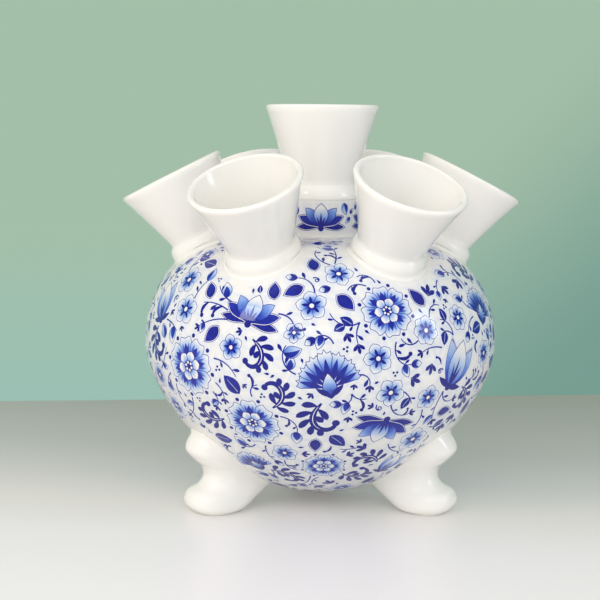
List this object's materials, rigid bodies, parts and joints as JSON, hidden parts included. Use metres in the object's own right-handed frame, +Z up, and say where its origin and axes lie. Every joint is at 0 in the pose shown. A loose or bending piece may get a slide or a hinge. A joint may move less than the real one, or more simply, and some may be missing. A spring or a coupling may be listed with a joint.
{
  "type": "tulip vase",
  "caption": "Round glazed tulip vase on scrolled feet, with an upright spout on a neck and a ring of leaning funnel spouts for single stems or small bunches.",
  "frame": {"origin": "on the table, under the middle of the body", "axes": "+Z up, -Y is the vase's front, where two leaning spouts stand either side of the middle"},
  "size_m": [0.3026, 0.2742, 0.3031],
  "materials": {
    "body_glaze": "glossy clear glaze over a warm white ground, painted in cobalt blue flowers",
    "spout_glaze": "plain glossy warm white glaze",
    "foot_glaze": "plain glossy warm white glaze",
    "cobalt_blue": "cobalt painting under the clear glaze, from pale wash to near black blue"
  },
  "bodies": {
    "root": {"vase_body": "body_glaze", "centre_spout": "spout_glaze", "spout_front_right": "spout_glaze", "spout_right": "spout_glaze", "spout_back_right": "spout_glaze", "spout_back_left": "spout_glaze", "spout_left": "spout_glaze", "spout_front_left": "spout_glaze", "foot_front_right": "foot_glaze", "foot_back": "foot_glaze", "foot_front_left": "foot_glaze"}
  },
  "joints": []
}
